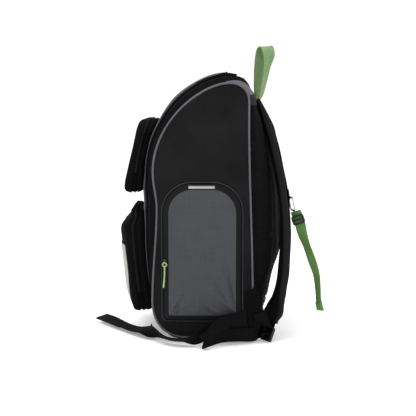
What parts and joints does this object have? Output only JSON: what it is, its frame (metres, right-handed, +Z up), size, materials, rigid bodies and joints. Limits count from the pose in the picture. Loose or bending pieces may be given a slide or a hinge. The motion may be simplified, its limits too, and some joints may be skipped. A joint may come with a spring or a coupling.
{
  "type": "cycling backpack",
  "caption": "Upright cycling backpack with a wrap-over zipped lid, front and side pockets, padded straps, a haul loop and loose adjuster webbing.",
  "frame": {"origin": "on the floor under the middle of the flat base", "axes": "+Z up, -Y out of the bag's front, +Y towards the wearer, +X to the wearer's right"},
  "size_m": [0.3843, 0.4284, 0.5301],
  "materials": {
    "black_cloth": "matte woven",
    "grey_cloth": "matte woven",
    "yoke_cloth": "satin woven",
    "pad_mesh": "open mesh",
    "piping": "satin",
    "zip_tape": "satin",
    "black_webbing": "ribbed weave",
    "green_webbing": "ribbed weave",
    "green_rubber": "matte",
    "black_plastic": "satin",
    "steel": "polished",
    "reflective": "reflective film"
  },
  "bodies": {
    "root": {"base_panel": "black_cloth", "back_panel": "black_cloth", "gusset_inner": "black_cloth", "gusset_outer": "black_cloth", "upper_pocket_gusset": "black_cloth", "upper_pocket_front": "black_cloth", "lower_pocket_gusset": "black_cloth", "lower_pocket_front": "black_cloth", "side_panel_right": "black_cloth", "side_panel_left": "black_cloth", "side_pocket_gusset_right": "black_cloth", "side_pocket_gusset_left": "black_cloth", "strap_anchor_right": "black_cloth", "strap_anchor_left": "black_cloth", "front_panel": "grey_cloth", "side_pocket_face_right": "grey_cloth", "side_pocket_face_left": "grey_cloth", "yoke_panel": "yoke_cloth", "back_pad": "pad_mesh", "shoulder_strap_right": "pad_mesh", "shoulder_strap_left": "pad_mesh", "piping_front": "piping", "piping_side_right": "piping", "piping_side_left": "piping", "side_pocket_seam_right": "piping", "side_pocket_seam_left": "piping", "main_zip": "zip_tape", "upper_pocket_zip": "zip_tape", "lower_pocket_zip": "zip_tape", "sternum_keeper": "black_webbing", "strap_webbing_right": "black_webbing", "strap_webbing_left": "black_webbing", "strap_end_right": "black_webbing", "strap_end_left": "black_webbing", "anchor_webbing_right": "black_webbing", "anchor_webbing_left": "black_webbing", "adjuster_webbing_right": "black_webbing", "adjuster_webbing_left": "black_webbing", "haul_loop": "green_webbing", "sternum_webbing": "green_webbing", "side_pocket_puller_right": "green_rubber", "side_pocket_puller_left": "green_rubber", "sternum_slider": "black_plastic", "side_pocket_slider_right": "black_plastic", "side_pocket_slider_left": "black_plastic", "ladder_lock_right": "black_plastic", "ladder_lock_left": "black_plastic", "sternum_ring": "steel", "lower_pocket_reflector": "reflective", "side_pocket_reflector_right": "reflective", "side_pocket_reflector_left": "reflective"}
  },
  "joints": []
}
